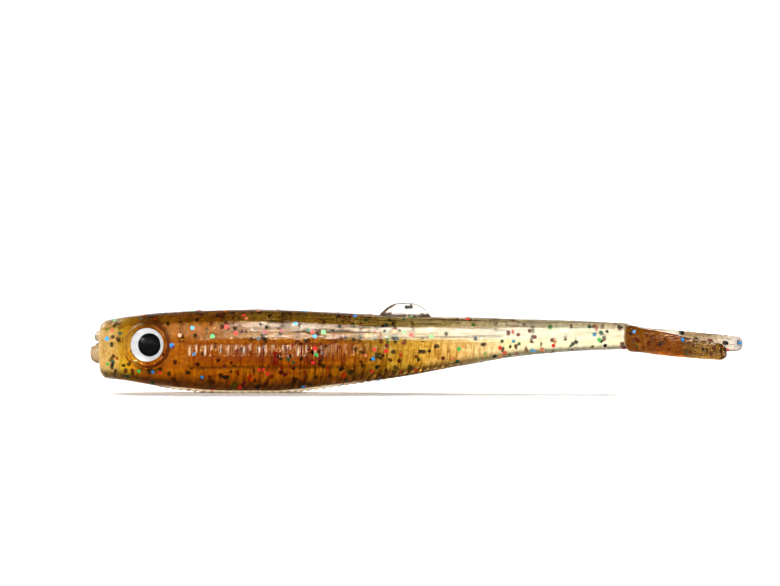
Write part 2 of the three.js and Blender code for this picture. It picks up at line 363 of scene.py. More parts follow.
EYES = eye_places()


RIB_SHARES = np.array([0, 0.07, 0.14, 0.23, 0.36, 0.5, 0.64, 0.77, 0.86, 0.93])
CAP_SHARES = (0.8, 0.55, 0.3)  # the rings inside an end's rim, as shares of its size


def rib_stations(start, end):
    """Places along the body, closer together at the grooves between ribs."""
    first = math.ceil((start - RIBS[0]) / RIB_PITCH - 1e-6)
    last = math.floor((end - RIBS[0]) / RIB_PITCH + 1e-6)
    ribs = [RIBS[0] + RIB_PITCH * (n + RIB_SHARES) for n in range(first, last)]
    return np.concatenate(ribs + [[RIBS[0] + RIB_PITCH * last]])


def body_ring(s, t):
    """One ring round the body at station s: up the left side and down the right."""
    left, right = [body_points(np.full(len(t), s), t, side)[0] for side in (-1, 1)]
    return np.vstack([left, right[-2:0:-1]])


def close_end(points, first, rim, at_front):
    """Closes the end whose rim starts at vertex first. Gives all the points and the new faces."""
    around, middle = len(rim), rim.mean(0)
    outer = np.arange(around) + first
    faces = []
    for share in CAP_SHARES:
        inner = np.arange(around) + len(points)
        points = np.vstack([points, middle + (rim - middle) * share])
        for i in range(around):
            j = (i + 1) % around
            faces.append((outer[i], outer[j], inner[j], inner[i]))
        outer = inner
    points = np.vstack([points, middle])
    for i in range(around):
        faces.append((outer[i], outer[(i + 1) % around], len(points) - 1))
    faces = [tuple(int(v) for v in face) for face in faces]
    return points, faces if at_front else [face[::-1] for face in faces]


def skin(name, stations, real_front, real_rear, materials):
    """A closed skin over the stations. The face over an end that isn't a real one is clear, slot 1."""
    t = side_shares()
    rings = [body_ring(s, t) for s in stations]
    around, last = len(rings[0]), len(rings) - 1
    faces = tube_faces(len(rings), around)
    slots = [0] * len(faces)
    points = np.vstack(rings)
    for ring, real in ((0, real_front), (last, real_rear)):
        points, cap = close_end(points, ring * around, rings[ring], ring == 0)
        faces += cap
        slots += [0 if real else 1] * len(cap)
    made = add_mesh(name, points, faces)
    for material in materials:
        made.data.materials.append(material)
    made.data.polygons.foreach_set("material_index", slots)
    return made


def cut_sockets(made):
    """Cuts the round flat-bottomed socket of each eye."""
    for centre, axis in EYES.values():
        profile = [(0, 0), (EYE_SOCKET_RADIUS, 0), (EYE_SOCKET_RADIUS, 6), (0, 6)]
        cutter = lathe("cutter", profile, centre - axis * EYE_SOCKET_DEPTH, axis)
        cut = made.modifiers.new("socket", "BOOLEAN")
        cut.operation = "DIFFERENCE"
        cut.solver = "EXACT"
        cut.object = cutter
        cut.material_mode = "INDEX"
        apply_modifiers(made)
        bpy.data.objects.remove(cutter)
    finish_shading(made)


def lathe(name, profile, base, axis, segments=96):
    """A solid turned about an axis. Its profile of (radius, height) starts and ends on the axis."""
    turn = Vector((0, 0, 1)).rotation_difference(Vector(axis)).to_matrix()
    points, rows = [], []
    for radius, height in profile:
        if radius == 0:
            rows.append([len(points)])
            points.append((0, 0, height))
            continue
        rows.append(list(range(len(points), len(points) + segments)))
        for k in range(segments):
            a = 2 * math.pi * k / segments
            points.append((radius * math.cos(a), radius * math.sin(a), height))
    faces = []
    for low, high in zip(rows, rows[1:]):
        for k in range(segments):
            n = (k + 1) % segments
            if len(low) == 1:
                faces.append((low[0], high[n], high[k]))
            elif len(high) == 1:
                faces.append((low[k], low[n], high[0]))
            else:
                faces.append((low[k], low[n], high[n], high[k]))
    placed = [np.array(turn @ Vector(p)) + np.asarray(base) for p in points]
    return add_mesh(name, placed, faces)


# ---------- materials ----------
def empty_tree(owner):
    """The node tree of a new material or world, with nothing in it."""
    owner.use_nodes = True
    owner.node_tree.nodes.clear()
    return owner.node_tree


def node_material(name):
    material = bpy.data.materials.new(name)
    return material, empty_tree(material)


def add_node(tree, kind, inputs=(), **settings):
    """A shader node. An input is a value, or the output of another node, which gets linked."""
    made = tree.nodes.new("ShaderNode" + kind)
    for key, value in settings.items():
        setattr(made, key, value)
    for key, value in dict(inputs).items():
        if isinstance(value, bpy.types.NodeSocket):
            tree.links.new(value, made.inputs[key])
        else:
            made.inputs[key].default_value = value
    return made


def read_attribute(tree, name, kind):
    return add_node(tree, "Attribute", attribute_name=name).outputs[kind]


def output(tree, shader, kind="Material"):
    add_node(tree, "Output" + kind, {"Surface": shader})


def surface(tree, inputs):
    """Ends a material with a principled shader that has these inputs."""
    output(tree, add_node(tree, "BsdfPrincipled", inputs).outputs["BSDF"])


def noise(tree, place, scale, detail=3.0, stretch=(1, 1, 1)):
    """Noise over a place, which is multiplied by the stretch along each axis first."""
    mapped = add_node(tree, "Mapping", {"Vector": place, "Scale": stretch}).outputs["Vector"]
    inputs = {"Vector": mapped, "Scale": scale, "Detail": detail}
    return add_node(tree, "TexNoise", inputs).outputs["Fac"]


def between(tree, value, low, high, from_low=0.0, from_high=1.0):
    """Stretches a value so that from_low becomes low and from_high becomes high."""
    inputs = {"Value": value, "From Min": from_low, "From Max": from_high, "To Min": low, "To Max": high}
    return add_node(tree, "MapRange", inputs).outputs["Result"]


def maths(tree, operation, a, b):
    return add_node(tree, "Math", {0: a, 1: b}, operation=operation).outputs[0]


def plastisol(name, clearness=0.88):
    """Soft plastic in the mesh's own tint, with faint swirls and with flow lines both ways."""
    material, tree = node_material(name)
    tint = read_attribute(tree, "tint", "Vector")
    rest = read_attribute(tree, "rest", "Vector")
    height = add_node(tree, "SeparateXYZ", {"Vector": rest}).outputs["Z"]
    # Swirls in the mix, fine upright streaks low on the flank, and long streaks above the lateral line.
    cloud = noise(tree, rest, 1.0, 3.0, (0.12, 0.5, 0.9))
    upright = noise(tree, rest, 1.0, 3.0, (2.6, 0.4, 0.28))
    lengthwise = noise(tree, rest, 1.0, 3.0, (0.1, 1.2, 1.9))
    fine = noise(tree, rest, 2.4, 3.0)
    low = between(tree, height, 1.0, 0.0, 8.2, 10.2)
    high = between(tree, height, 0.0, 1.0, 8.8, 10.6)
    streaky = read_attribute(tree, "streaky", "Fac")
    # How deep the colour is: 1 is the tint itself, and more is darker and redder.
    dark = maths(tree, "MULTIPLY", between(tree, upright, 0.75, 0.0, 0.34, 0.5), low)
    depth = between(tree, cloud, 1.12, 0.88, 0.3, 0.7)
    depth = maths(tree, "ADD", depth, between(tree, fine, 0.3, -0.26, 0.3, 0.7))
    depth = maths(tree, "ADD", depth, maths(tree, "MULTIPLY", dark, streaky))
    deep = add_node(tree, "Gamma", {"Color": tint, "Gamma": depth})
    lines = maths(tree, "MULTIPLY", between(tree, lengthwise, 0.55, 0.0, 0.36, 0.48), high)
    shade = maths(tree, "SUBTRACT", 1.0, maths(tree, "MULTIPLY", lines, streaky))
    inputs = {0: deep.outputs["Color"], "Scale": shade}
    colour = add_node(tree, "VectorMath", inputs, operation="SCALE")
    # The pads stay glossy between the belly's upright lines and the shoulder's lengthwise ones.
    belly_lines = between(tree, height, 0.2, 0.0, 5.2, 6.4)
    shoulder_lines = between(tree, height, 0.0, 3.4, 9.4, 10.6)
    rough = maths(tree, "MULTIPLY", upright, belly_lines)
    rough = maths(tree, "ADD", rough, maths(tree, "MULTIPLY", lengthwise, shoulder_lines))
    rough = maths(tree, "ADD", rough, maths(tree, "MULTIPLY", fine, 0.08))
    bump = add_node(tree, "Bump", {"Height": rough, "Strength": 0.9, "Distance": 0.00012})
    # Less clear where the belly's edge is cloudy, and where the pads' highlights are painted.
    solid = read_attribute(tree, "cloudy", "Fac")
    inputs = {
        "Base Color": colour.outputs["Vector"],
        "Roughness": between(tree, cloud, 0.04, 0.13),
        "Normal": bump.outputs["Normal"],
        "IOR": 1.38,
        "Specular Tint": (0.32, 0.31, 0.28, 1.0),
        "Transmission Weight": between(tree, solid, clearness, 0.1),
    }
    surface(tree, inputs)
    return material


def nothing():
    """A face that isn't there: it lets everything through."""
    material, tree = node_material("clear_cut")
    output(tree, add_node(tree, "BsdfTransparent").outputs["BSDF"])
    return material


# The body's colour seen right through, by place along it: the flank, and the back over the shoulder.
FLANK_TINT = (
    (-28.4, (0.53, 0.35, 0.13)), (-25.0, (0.48, 0.3, 0.08)), (-24.4, (0.38, 0.22, 0.01)),
    (-22.5, (0.41, 0.18, 0.006)), (-20, (0.34, 0.11, 0.0012)), (-17, (0.31, 0.1, 0.0007)),
    (-11, (0.3, 0.098, 0.0005)), (8, (0.29, 0.1, 0.0005)), (17, (0.31, 0.12, 0.0018)),
    (24, (0.35, 0.2, 0.014)), (31, (0.47, 0.28, 0.045)), (38, (0.56, 0.37, 0.13)), (46, (0.68, 0.57, 0.33)),
    (56, (0.69, 0.66, 0.46)), (66, (0.72, 0.64, 0.44)), (71, (0.7, 0.58, 0.39)),
)
BACK_TINT = (
    (-28.4, (0.38, 0.24, 0.06)), (-22, (0.2, 0.1, 0.005)), (-12, (0.082, 0.031, 0.0002)),
    (10, (0.075, 0.034, 0.0002)), (26, (0.087, 0.047, 0.002)), (36, (0.14, 0.09, 0.02)),
    (46, (0.17, 0.13, 0.06)), (56, (0.24, 0.19, 0.1)), (71, (0.42, 0.33, 0.2)),
)


def along_colours(table, x):
    places = [at for at, _ in table]
    return np.stack([np.interp(x, places, [colour[k] for _, colour in table]) for k in range(3)], -1)


# A painted highlight on the facet between the creases.
FACET_HIGHLIGHT_TINT = (0.74, 0.67, 0.53)
BACK_RIM_TINT = (0.95, 0.84, 0.66)
BELLY_EDGE_TINT = (1.0, 0.9, 0.66)
# Painted highlights on the ribs' pads.
PAINTED_GLINT_TINT = (1.0, 0.86, 0.64)


def mixed(tint, other, share):
    """The tint, turned into the other one where the share is 1."""
    return tint * (1 - share[:, None]) + np.array(other) * share[:, None]


def station_of(points):
    """Which station each point of the body is on. The ribs curve forward as they go down."""
    x, z = points[:, 0], points[:, 2]
    belly, back, _ = outline(x)
    lateral = belly + along_share(LATERAL, x) * (back - belly)
    down = np.clip((lateral - z) / (lateral - belly), 0, 1)
    t = LATERAL_T * np.arccos(down ** (1 / FLANK_POWERS[1])) / (math.pi / 2)
    return x + lean(x, np.where(z > lateral, LATERAL_T, t))


def scatter(number, rate, start):
    """A share from 0 to 1 that jumps about from one whole number to the next."""
    return np.abs(np.sin(number * rate + start) * 437.585) % 1


def painted_glint_marks(s, z):
    """1 on short marks on the ribs' pads: painted highlights, pale and cloudy, in place of very narrow
    reflections.
    """
    phase = (s - RIBS[0]) / RIB_PITCH
    number = np.floor(phase)
    chance, other = scatter(number, 12.9898, 0.0), scatter(number, 78.233, 1.7)
    middle = 0.5 + 0.14 * np.round(2 * other - 1)
    crest = 1 - smooth(np.abs(phase - number - middle), 0.05, 0.2)
    top = PADS_FROM + 2 * PAD_HEIGHT - 0.1 - 0.5 * other
    long = within(z, (top - 0.7 - 1.3 * chance, top - 0.5 - 1.1 * chance, top - 0.05, top + 0.15))
    speck = (other > 0.45) * peak(z, PADS_FROM + 0.2 + chance, 0.22)
    zone = within(s, (*PADS_REACH[:2], 22, 30)) * (1 - 0.75 * smooth(s, 6, 18))
    return crest * zone * np.clip(long * (0.45 + 0.55 * other) + 0.5 * speck, 0, 1)


def belly_edge(x, z, rear_end):
    """1 on the lowest strip of the forward belly, fading out between the two places of rear_end."""
    return (1 - smooth(z - outline(x)[0], 0.4, 0.62)) * within(x, (-20, -14, *rear_end))


def body_tint(points):
    """The colour of each point of the body, seen right through."""
    x, z = points[:, 0], points[:, 2]
    belly, back, _ = outline(x)
    share = (z - belly) / (back - belly)
    shoulder, lateral = along_share(SHOULDER, x), along_share(LATERAL, x)
    upper = smooth(share, shoulder - 0.03, shoulder + 0.02)[:, None]
    tint = along_colours(FLANK_TINT, x) * (1 - upper) + along_colours(BACK_TINT, x) * upper
    # Low on the head the plastic is more golden, and along the pads it is redder and darker.
    golden = (1 - smooth(z, 4, 8)) * within(x, (-25, -24, -23.5, -20))
    tint = tint * (1 + golden[:, None] * np.array([0.35, 0.6, 1.0]))
    row = within(z, (5.2, 6.6, 9.2, 9.9)) * within(x, (-13, -10, 14, 26))
    tint = tint * (1 - 0.45 * row[:, None] * np.array([0.5, 1.0, 1.0]))
    # The facet between the creases is paler to the rear, as a painted highlight where the light catches it.
    # The edge of the back by the fin is paler too.
    facet = within(share, (lateral, lateral + 0.03, shoulder - 0.03, shoulder))
    painted_facet_highlight = 0.52 * smooth(x, -8, 2) + 0.26 * smooth(x, 16, 24)
    tint = mixed(tint, FACET_HIGHLIGHT_TINT, facet * painted_facet_highlight * (1 - smooth(x, 46, 60)))
    tint = mixed(tint, BACK_RIM_TINT, 0.6 * smooth(back - z, 0.45, 0.1) * within(x, (14, 24, 36, 46)))
    tint = mixed(tint, BELLY_EDGE_TINT, 0.95 * belly_edge(x, z, (12, 24)))
    # Painted highlights: pale, cloudy marks on the ribs' pads, in place of narrow reflections.
    return np.clip(mixed(tint, PAINTED_GLINT_TINT, painted_glint_marks(station_of(points), z)), 0, 1)


def dress(made, tint, material=None):
    """Gives a piece its plastisol, and stores what that reads: resting place, tint, clouds and streaks."""
    if material:
        made.data.materials.append(material)
    points = vertex_points(made.data)
    colours = tint(points) if callable(tint) else np.broadcast_to(tint, (len(points), 3))
    write_attribute(made, "tint", colours)
    cloudy = np.zeros(len(points))
    streaky = np.full(len(points), 0.5)
    if tint is body_tint:
        x, z = points[:, 0], points[:, 2]
        stations = station_of(points)
        # The belly's edge is cloudy, and so are the painted highlights on the pads.
        cloudy = np.maximum(belly_edge(x, z, (14, 26)), painted_glint_marks(stations, z))
        streaky = 0.5 + within(x, (-6, 4, 38, 52))
        points[:, 0] = stations
    write_attribute(made, "rest", points)
    write_attribute(made, "cloudy", cloudy)
    write_attribute(made, "streaky", streaky)


def bend_front(made):
    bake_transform(made)


def bend_rear(made):
    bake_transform(made)


# Where the skins' first and last rings are, from the nose and from the stem's end.
NOSE_RINGS = np.array([0, 0.05, 0.15, 0.3, 0.5, 0.75, 1.0])
END_RINGS = np.array([1.6, 1.2, 0.85, 0.55, 0.3, 0.12, 0.03])
HEAD_STEP, STEM_STEP = 0.26, 0.25


def bodies():
    """The front skin, with the eye sockets, and the rear skin."""
    materials = (plastisol("plastisol_body"), nothing())
    head = np.arange(NOSE_X + NOSE_RADIUS, RIBS[0] - 0.1, HEAD_STEP)
    front_stations = np.concatenate([NOSE_X + NOSE_RINGS, head, rib_stations(RIBS[0], SEAM_X)])
    front = skin("skin_front", front_stations, True, False, materials)
    cut_sockets(front)
    rear_ribs = rib_stations(SEAM_X, RIBS[1])
    end = STEM_END_X - END_RINGS
    tail = np.arange(rear_ribs[-1] + STEM_STEP, end[0] - 0.1, STEM_STEP)
    rear = skin("skin_rear", np.concatenate([rear_ribs, tail, end]), False, True, materials)
    for made in (front, rear):
        dress(made, body_tint)
    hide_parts("body_front")
    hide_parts("tail_stem")
    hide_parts("body_middle")
    bend_front(front)
    bend_rear(rear)


# ---------- tail lobes ----------
# Each lobe's middle line: four curve points in plan, and its height over the floor along its length.
LOBE_PATHS = {
    "left": ((68.4, -1.2), (72.6, -2.0), (77.6, -10.4), (83.7, -17.6)),
    "right": ((68.4, 1.2), (74.0, 1.5), (83.4, 3.2), (91.4, 5.0)),
}
LOBE_RISE = {
    "left": ((0, 10.2), (0.2, 9.75), (0.37, 9.4), (0.57, 8.95), (0.7, 8.6), (1, 8.05)),
    "right": ((0, 10.2), (0.3, 9.6), (1, 8.85)),
}
LOBE_HALF_HEIGHT = (
    (0, 2.5), (0.1, 2.42), (0.25, 2.22), (0.37, 2.2), (0.57, 2.02), (0.7, 1.8), (0.85, 1.6), (1, 1.42),
)
LOBE_HALF_THICKNESS = ((0, 0.95), (0.2, 0.95), (0.6, 0.8), (1, 0.7))
LOBE_LENGTH = 22.5
LOBE_ROOT_RADIUS, LOBE_TIP_RADIUS = 1.9, 1.5
LOBE_POWERS = (2.4, 3.0)  # how square the section is, across and up
# The flow lines in the material. They start far apart, so that the two lobes aren't streaked alike.
LOBE_FLOW_LENGTH = 22
LOBE_FLOW_START = {"left": 30, "right": 90}
# The lobes are one plastic. The right lobe's pale stretches are partly painted light, where its thin plate
# is washed out by light, and its darker last stop is a painted dark edge at the tip.
LOBE_TINT_AND_PAINTED_LIGHT = {
    "left": ((0, (0.34, 0.13, 0.003)), (0.3, (0.26, 0.076, 0.0002)), (0.56, (0.25, 0.072, 0.0002)),
             (0.6, (0.21, 0.1, 0.013)), (0.85, (0.29, 0.16, 0.03)), (1, (0.24, 0.12, 0.02))),
    "right": ((0, (0.66, 0.56, 0.4)), (0.1, (0.68, 0.6, 0.46)), (0.42, (0.7, 0.64, 0.54)),
              (0.5, (0.38, 0.26, 0.14)), (0.75, (0.45, 0.34, 0.22)), (0.9, (0.64, 0.56, 0.46)),
              (1, (0.36, 0.32, 0.31))),
}


def lobe_point(name, u):
    """The middle line of a lobe at the share u of its length, and its heading in plan."""
    a, b, c, d = (np.array(p) for p in LOBE_PATHS[name])
    v = 1 - u
    plan = v**3 * a + 3 * v * v * u * b + 3 * v * u * u * c + u**3 * d
    heading = 3 * v * v * (b - a) + 6 * v * u * (c - b) + 3 * u * u * (d - c)
    heading = heading / np.linalg.norm(heading)
    return np.array([plan[0], plan[1], curve_through(LOBE_RISE[name], u)]), heading


def lobe_ripple(u, up, side):
    """A lobe's uneven thickness: slow waves, rings towards the tip, then a lip and a groove."""
    wave = 0.03 * math.sin(u * 61 + 2 * up) + 0.02 * math.sin(u * 23 + side)
    rings = 0.07 * math.sin(u * 150 + 3 * up) * float(smooth(u, 0.6, 0.75))
    return wave + rings + 0.12 * float(peak(u, 0.93, 1 / 60)) - 0.1 * float(peak(u, 0.97, 1 / 60))


def lobe(name):
    """A flat tongue with rounded ends, along the lobe's middle line."""
    around, length = 44, LOBE_LENGTH
    ends = 1 - np.cos(np.linspace(0.06, math.pi / 2, 12))
    root, tip = ends * LOBE_ROOT_RADIUS / length, 1 - ends[::-1][1:] * LOBE_TIP_RADIUS / length
    shares = np.concatenate([root, np.linspace(2.2 / length, 1 - 1.7 / length, 60), tip])
    side = -1 if name == "left" else 1
    rings = []
    for u in shares:
        centre, heading = lobe_point(name, u)
        across = np.array([-heading[1], heading[0], 0])
        by_root = np.clip(1 - u * length / LOBE_ROOT_RADIUS, 0, 1)
        by_tip = np.clip(1 - (1 - u) * length / LOBE_TIP_RADIUS, 0, 1)
        close = (1 - by_root**2.3) ** (1 / 2.3) * (1 - by_tip**2.6) ** (1 / 2.6)
        tall = curve_through(LOBE_HALF_HEIGHT, u) * close
        thick = curve_through(LOBE_HALF_THICKNESS, u) * close**0.7
        ring = []
        for k in range(around):
            a = 2 * math.pi * k / around
            out, up = math.cos(a), math.sin(a)
            n = thick * abs(out) ** (2 / LOBE_POWERS[0]) * np.sign(out)
            z = tall * abs(up) ** (2 / LOBE_POWERS[1]) * np.sign(up)
            ring.append(centre + across * (n * (1 + lobe_ripple(u, up, side))) + np.array([0, 0, z]))
        rings.append(np.array(ring))
    points = np.vstack(rings)
    faces = [face[::-1] for face in tube_faces(len(rings), around)]
    first = tuple(range(around))
    last = tuple(i + (len(rings) - 1) * around for i in range(around))
    faces += [first, last[::-1]]
    made = add_mesh(f"lobe_{name}_skin", points, faces, 60)
    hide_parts(f"tail_lobe_{name}")
    return made


def lobe_share(name, points):
    """How far along a lobe each point is, as a share of its length."""
    a = np.array(LOBE_PATHS[name][0])
    d = np.array(LOBE_PATHS[name][3])
    along = (d - a) / np.dot(d - a, d - a)
    return np.clip((points[:, :2] - a) @ along, 0, 1)


def dress_lobe(made, name, material):
    points = vertex_points(made.data)
    share = lobe_share(name, points)
    dress(made, along_colours(LOBE_TINT_AND_PAINTED_LIGHT[name], share), material)
    # The flow lines run along the lobe, and differ from lobe to lobe.
    along = share * LOBE_FLOW_LENGTH + LOBE_FLOW_START[name]
    flow = np.stack([along, points[:, 1] * 0.3, points[:, 2] + 6], -1)
    made.data.attributes["rest"].data.foreach_set("vector", flow.astype(np.float32).ravel())


def lobes():
    material = plastisol("plastisol_lobe")
    for name in ("left", "right"):
        piece = lobe(name)
        dress_lobe(piece, name, material)
        bend_lobe(piece)


def bend_lobe(made):
    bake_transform(made)


# ---------- back fin ----------
FIN_MIDDLE, FIN_FRONT, FIN_REAR = 28.3, 5.2, 4.4
FIN_HEIGHT = 2.4
FIN_SUNK = 0.5
FIN_ROOT_HALF, FIN_THINNING = 0.46, 0.2  # half thickness at the root, and how much of it goes by the rim
FIN_LEVELS = (0, 0.2, 0.4, 0.6, 0.75, 0.86, 0.92, 0.955, 0.98, 1)  # rows of points, as shares of the height
# The brown of the root, and painted dark reflections along the fin's front edge and rim.
FIN_BORDER_AND_EDGE_SHADE_TINT = (0.1, 0.05, 0.025)
FIN_CLEAR_TINT = (0.86, 0.82, 0.72)
FIN_SPAN = np.linspace(FIN_MIDDLE - FIN_FRONT, FIN_MIDDLE + FIN_REAR, 9)


def fin_top(x):
    """How far the fin stands above the back at x."""
    u = np.abs(x - FIN_MIDDLE) / (FIN_FRONT if x < FIN_MIDDLE else FIN_REAR)
    return FIN_HEIGHT * max(1 - u**3, 0) ** 1.1


def back_height(x):
    """The height of the back's middle line at x."""
    return float(body_points(np.array([x]), np.array([0.999]), -1)[0][0, 2])


def fin():
    """A thin clear plate with a rounded rim, rooted in the back."""
    rings = []
    for share in np.sin(np.linspace(-math.pi / 2, math.pi / 2, 61)):
        x = FIN_MIDDLE + share * (FIN_FRONT if share < 0 else FIN_REAR)
        low = back_height(x) - FIN_SUNK
        tall = FIN_SUNK + fin_top(x) * 0.999
        ring = []
        for level in FIN_LEVELS:
            half = (FIN_ROOT_HALF - FIN_THINNING * level) * math.sqrt(max(1 - level**8, 0))
            ring.append((x, -half, low + tall * level))
        ring += [(x, -y, z) for _, y, z in ring[-2::-1]]
        rings.append(ring)
    around = len(rings[0])
    faces = tube_faces(len(rings), around)
    faces += [tuple(range(around)), tuple((len(rings) - 1) * around + i for i in range(around))[::-1]]
    made = add_mesh("fin_plate", np.vstack(rings), faces, 50)
    dress(made, fin_tint, plastisol("plastisol_fin", 0.95))
    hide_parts("dorsal_fin")
    bend_fin(made)


def bend_fin(made):
    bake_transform(made)


def fin_tint(points):
    """Clear, with a brown border along the root, and painted dark reflections up the front edge and round
    the rim.
    """
    x = points[:, 0]
    rise = points[:, 2] - np.interp(x, FIN_SPAN, [back_height(at) for at in FIN_SPAN])
    from_front = x - (FIN_MIDDLE - FIN_FRONT)
    # Brown at the root, and painted dark reflections up the front edge and round the rim.
    clear = smooth(rise, 0.42, 0.62) * smooth(from_front - 1.25 * rise, 0.35, 0.75)
    rim = np.array([fin_top(at) for at in x])
    share = clear * (1 - 0.96 * smooth(rise, rim - 0.3, rim - 0.08))
    return mixed(np.array(FIN_BORDER_AND_EDGE_SHADE_TINT), FIN_CLEAR_TINT, share)


# ---------- gate stub ----------
GATE_LUMPS = ((7.3, 2.0, 1.95), (10.3, 1.15, 1.15))  # middle height, half height and reach of each
GATE_HALF_WIDTH = 1.5
GATE_SUNK = 0.35  # how far the lumps start inside the nose


def gate_lump(middle, half_height, reach):
    """Points and faces of one soft, uneven lump on the nose."""
    rows, around = 12, 40
    points = []
    for r in range(rows):
        a = (r / (rows - 1)) * math.pi / 2
        out, wide = math.sin(a) ** 0.9, math.cos(a) ** 0.75
        for k in range(around):
            b = 2 * math.pi * k / around
            uneven = 1 + 0.06 * math.sin(3 * b + middle) + 0.04 * math.sin(5 * b)
            y = GATE_HALF_WIDTH * wide * math.cos(b) * uneven
            z = middle + half_height * wide * math.sin(b) * uneven
            points.append((NOSE_X + GATE_SUNK - (reach + GATE_SUNK) * out, y, z))
    faces = tube_faces(rows, around)
    faces.append(tuple(range(around))[::-1])
    faces.append(tuple((rows - 1) * around + i for i in range(around)))
    return points, faces


def gate_stub():
    """The cloudy stub left on the nose where the material went into the mould: two soft lumps."""
    points, faces = [], []
    for lump in GATE_LUMPS:
        more_points, more_faces = gate_lump(*lump)
        faces += [tuple(i + len(points) for i in face) for face in more_faces]
        points += more_points
    made = add_mesh("gate_lumps", points, faces, 60)
    dress(made, (0.47, 0.35, 0.21), plastisol("plastisol_gate", 0.8))
    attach(made, "front")
    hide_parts("body_front")


# ---------- eyes ----------
EYE_PARTS = ("adhesive", "foil", "pupil", "dome")  # from the socket's floor outwards
FLAT_COLOURS = {"adhesive": (0.62, 0.6, 0.55), "pupil": (0.0008, 0.0008, 0.001)}
DISC_EDGE = 0.02
DOME_RIM, DOME_STEPS = 0.3, 24


def plain_material(name, colour, **inputs):
    material, tree = node_material(name)
    named = {key.replace("_", " "): value for key, value in inputs.items()}
    surface(tree, {"Base Color": (*colour, 1), **named})
    return material


def foil_material():
    """Silver foil with a fine grain, in tone and in gloss."""
    material, tree = node_material("foil")
    place = add_node(tree, "TexCoord").outputs["Object"]
    grain = noise(tree, place, 1500.0)
    tone, gloss = between(tree, grain, 0.34, 0.48), between(tree, grain, 0.22, 0.4)
    surface(tree, {"Base Color": tone, "Roughness": gloss, "Metallic": 0.35})
    return material


def eye_material(part):
    if part == "foil":
        return foil_material()
    if part == "dome":
        clear = {"Transmission_Weight": 1.0, "IOR": 1.2, "Specular_Tint": (0.5, 0.5, 0.5, 1.0)}
        return plain_material("dome", (0.99, 0.99, 0.99), Roughness=0.01, **clear)
    return plain_material(part, FLAT_COLOURS[part], Roughness=0.6, Specular_IOR_Level=0.0)


def eye_profile(part, radius, thick):
    """Half the cut through an eye's layer: a disc with a chamfered edge, or the dome on its rim."""
    if part != "dome":
        inner, upper = radius - DISC_EDGE, thick - DISC_EDGE
        return [(0, 0), (inner, 0), (radius, DISC_EDGE), (radius, upper), (inner, thick), (0, thick)]
    profile = [(0, 0), (radius, 0), (radius, DOME_RIM)]
    for k in range(1, DOME_STEPS):
        a = k / DOME_STEPS * math.pi / 2
        profile.append((radius * math.cos(a), DOME_RIM + (thick - DOME_RIM) * math.sin(a)))
    return profile + [(0, thick)]


def eyes():
    """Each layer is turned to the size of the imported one, which is found from its own points."""
    materials = {part: eye_material(part) for part in EYE_PARTS}
    for name, side in (("left", -1), ("right", 1)):
        centre, axis = EYES[side]
        for part in EYE_PARTS:
            node = f"eye_{part}_{name}"
            points = points_of(node)
            height = (points - centre) @ axis
            low, high = height.min(), height.max()
            flat = points[np.abs(height - low) < 0.01]
            middle = flat.mean(0)
            radius = np.linalg.norm(flat - middle, axis=1).max()
            profile = eye_profile(part, radius, high - low)
            made = lathe(f"eye_{part}_{name}_fine", profile, middle, axis, 128)
            made.data.materials.append(materials[part])
            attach(made, "front")
            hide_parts(node)


# ---------- glitter ----------
GLITTER = {
    "glitter_black": (0.003, 0.003, 0.004),
    "glitter_dark_red": (0.09, 0.004, 0.003),
    "glitter_red": (0.52, 0.02, 0.014),
    "glitter_dark_green": (0.006, 0.045, 0.016),
    "glitter_green": (0.07, 0.34, 0.07),
    "glitter_blue": (0.02, 0.2, 0.46),
    "glitter_copper": (0.5, 0.15, 0.06),
}
FLAKE_RADIUS, FLAKE_SIZES = 0.42, (0.75, 1.08)  # the smallest and largest, as shares of the radius
FLAKE_THICKNESS = 0.04
# Flakes deep in the plastic and at its surface: shares of each colour, tilt, number, and depth.
DEEP_MIX = (0.4, 0.34, 0.04, 0.14, 0.02, 0.02, 0.04)
SURFACE_MIX = (0.2, 0.1, 0.24, 0.1, 0.12, 0.16, 0.08)
DEEP_TILT, SURFACE_TILT = 26, 5
DEEP_COUNT = {"front": 330, "rear": 70}
SURFACE_COUNT = {"front": 190, "rear": 40}
DEEP_DEPTHS, SURFACE_DEPTH = (0.12, 1.1), -0.03
EYE_CLEARANCE = 4.2


def flake(points, faces, place, normal, tilt):
    """One six-sided flake, lying flat to the normal but for a small random tilt."""
    tipped = normal + rng.normal(0, math.tan(math.radians(tilt)) * 0.6, 3)
    tipped = tipped / np.linalg.norm(tipped)
    first = np.cross(tipped, (0.3, 0.2, 0.93))
    first = first / np.linalg.norm(first)
    second = np.cross(tipped, first)
    turn = rng.uniform(0, math.pi / 3)
    radius = FLAKE_RADIUS * rng.uniform(*FLAKE_SIZES)
    start = len(points)
    for height in (-FLAKE_THICKNESS / 2, FLAKE_THICKNESS / 2):
        for k in range(6):
            a = turn + k * math.pi / 3
            points.append(place + tipped * height + radius * (first * math.cos(a) + second * math.sin(a)))
    faces.append(tuple(start + i for i in (5, 4, 3, 2, 1, 0)))
    faces.append(tuple(start + i for i in (6, 7, 8, 9, 10, 11)))
    for k in range(6):
        n = (k + 1) % 6
        faces.append((start + k, start + n, start + 6 + n, start + 6 + k))


def flake_piece(name, spots):
    """One mesh of flakes. Each spot is (place, normal, tilt, colour number)."""
    points, faces, colours = [], [], []
    for place, normal, tilt, colour in spots:
        flake(points, faces, place, normal, tilt)
        colours += [colour] * 8
    made = add_mesh(name, points, faces, 20)
    for material in GLITTER_MATERIALS:
        made.data.materials.append(material)
    made.data.polygons.foreach_set("material_index", colours)
    return made


def glitter_material(name):
    return plain_material(name, GLITTER[name], Roughness=0.4, Metallic=0.12, Specular_IOR_Level=0.15)


GLITTER_MATERIALS = [glitter_material(name) for name in GLITTER]


